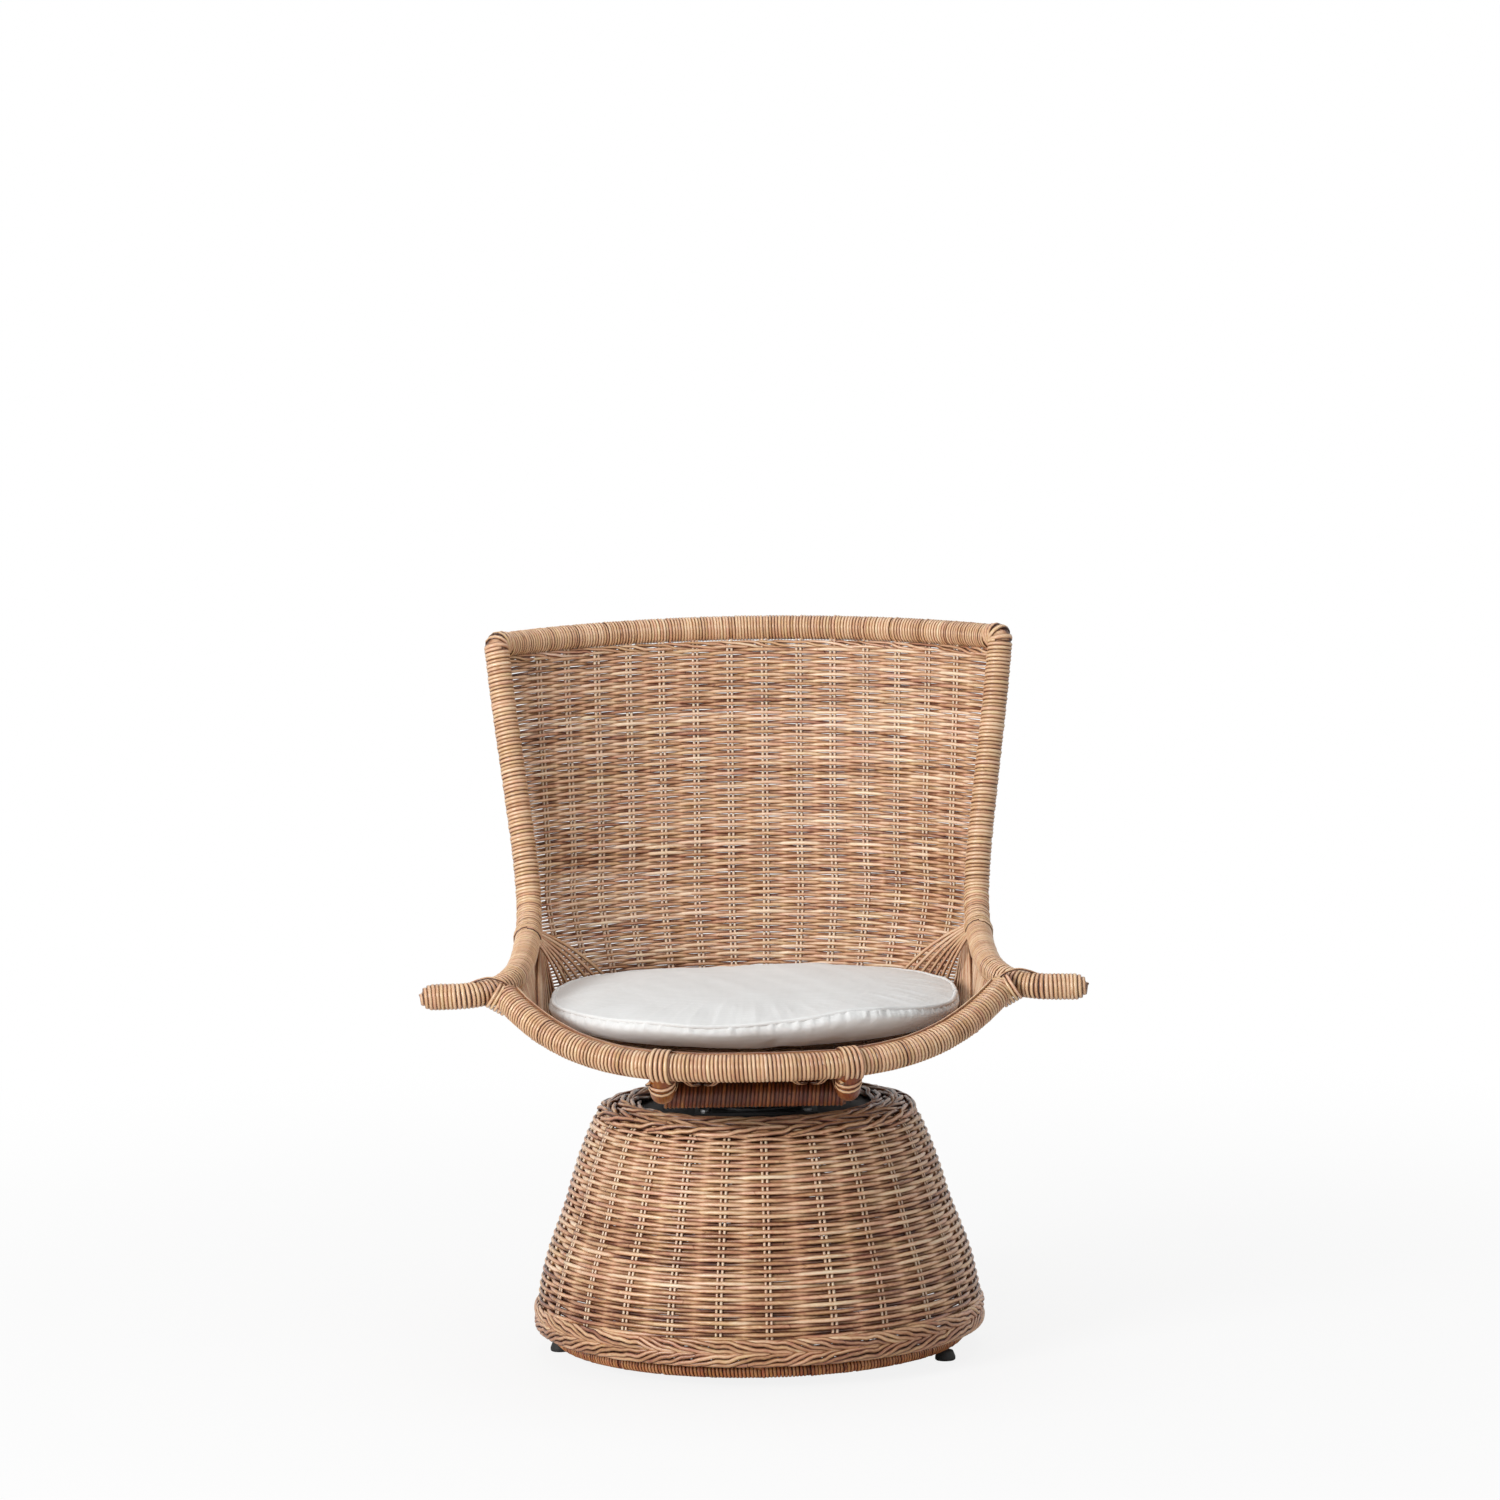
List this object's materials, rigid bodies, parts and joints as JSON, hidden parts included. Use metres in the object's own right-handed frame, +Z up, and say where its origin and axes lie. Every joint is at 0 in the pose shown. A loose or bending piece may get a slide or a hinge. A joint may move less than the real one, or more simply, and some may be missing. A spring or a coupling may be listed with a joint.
{
  "type": "swivel lounge chair",
  "caption": "Woven rattan swivel lounge chair: curved high back, scooped seat with short side arms, loose cushion, and a round woven drum base on glides.",
  "frame": {"origin": "on the floor, on the swivel axis, midway between the front of the rim and the back of the top rail", "axes": "+Z up, -Y towards the front of the chair, +X to the right as seen from the front"},
  "size_m": [0.767, 0.6921, 0.8501],
  "materials": {
    "rattan": "natural lacquered cane, woven and wound, satin",
    "dark_rattan": "darker stained rattan pole, satin",
    "pale_rattan": "smooth skinned rattan pole, satin",
    "black_board": "black painted board and bearers, matt",
    "swivel_metal": "black powder coat, satin",
    "zinc": "zinc plated fasteners, balls and pivot",
    "glide_plastic": "black moulded glide",
    "linen": "off-white plain-weave cover over a soft filling"
  },
  "bodies": {
    "base": {"base_bottom_ring": "dark_rattan", "base_stretcher": "dark_rattan", "base_weave": "rattan", "base_rib_1": "dark_rattan", "base_rib_2": "dark_rattan", "base_rib_3": "dark_rattan", "base_rib_4": "dark_rattan", "base_rib_5": "dark_rattan", "base_rib_6": "dark_rattan", "base_rib_7": "dark_rattan", "base_rib_8": "dark_rattan", "base_lower_braid": "rattan", "base_mid_hoop": "dark_rattan", "base_top_ring": "dark_rattan", "base_top_braid": "rattan", "deck_bar_front": "dark_rattan", "deck_bar_rear": "dark_rattan", "deck_board": "black_board", "swivel_lower_plate": "swivel_metal", "lower_bolt_1": "zinc", "lower_bolt_2": "zinc", "lower_bolt_3": "zinc", "lower_bolt_4": "zinc", "swivel_pivot": "zinc"},
    "ball_cage": {"ball_cage": "zinc"},
    "seat": {"swivel_upper_plate": "swivel_metal", "upper_bolt_1": "zinc", "upper_bolt_2": "zinc", "upper_bolt_3": "zinc", "upper_bolt_4": "zinc", "side_pole_right": "rattan", "side_pole_left": "rattan", "front_rim": "rattan", "top_rail": "rattan", "seat_hoop": "dark_rattan", "bearer_front": "black_board", "bearer_rear": "black_board", "runner_right": "pale_rattan", "runner_left": "pale_rattan", "cross_rail_front": "dark_rattan", "cross_rail_rear": "dark_rattan", "lashing_right": "rattan", "lashing_left": "rattan", "seat_weave": "rattan", "seat_rib_1": "dark_rattan", "seat_rib_2": "dark_rattan", "seat_rib_3": "dark_rattan", "seat_rib_4": "dark_rattan", "back_weave": "rattan", "side_web_right": "rattan", "side_web_left": "rattan"},
    "cushion": {"seat_cushion": "linen", "cushion_piping": "linen"},
    "glide_left": {"glide_left": "glide_plastic"},
    "glide_right": {"glide_right": "glide_plastic"},
    "glide_front": {"glide_front": "glide_plastic"},
    "glide_rear": {"glide_rear": "glide_plastic"}
  },
  "joints": [
    {"name": "seat_swivel", "type": "hinge", "parent": "base", "child": "seat", "pos_m": [0, 0, 0.2975], "axis": [0, 0, 1], "continuous": true},
    {"name": "ball_cage_roll", "type": "hinge", "parent": "base", "child": "ball_cage", "pos_m": [0, 0, 0.2975], "axis": [0, 0, 1], "continuous": true},
    {"name": "cushion_lift", "type": "slide", "parent": "seat", "child": "cushion", "axis": [0, 0, 1], "range_m": [0, 0.25]},
    {"name": "glide_left_level", "type": "slide", "parent": "base", "child": "glide_left", "axis": [0, 0, -1], "range_m": [0, 0.008]},
    {"name": "glide_right_level", "type": "slide", "parent": "base", "child": "glide_right", "axis": [0, 0, -1], "range_m": [0, 0.008]},
    {"name": "glide_front_level", "type": "slide", "parent": "base", "child": "glide_front", "axis": [0, 0, -1], "range_m": [0, 0.008]},
    {"name": "glide_rear_level", "type": "slide", "parent": "base", "child": "glide_rear", "axis": [0, 0, -1], "range_m": [0, 0.008]}
  ],
  "couplings": [
    {"joint": "ball_cage_roll", "follows": "seat_swivel", "ratio": 0.5}
  ]
}
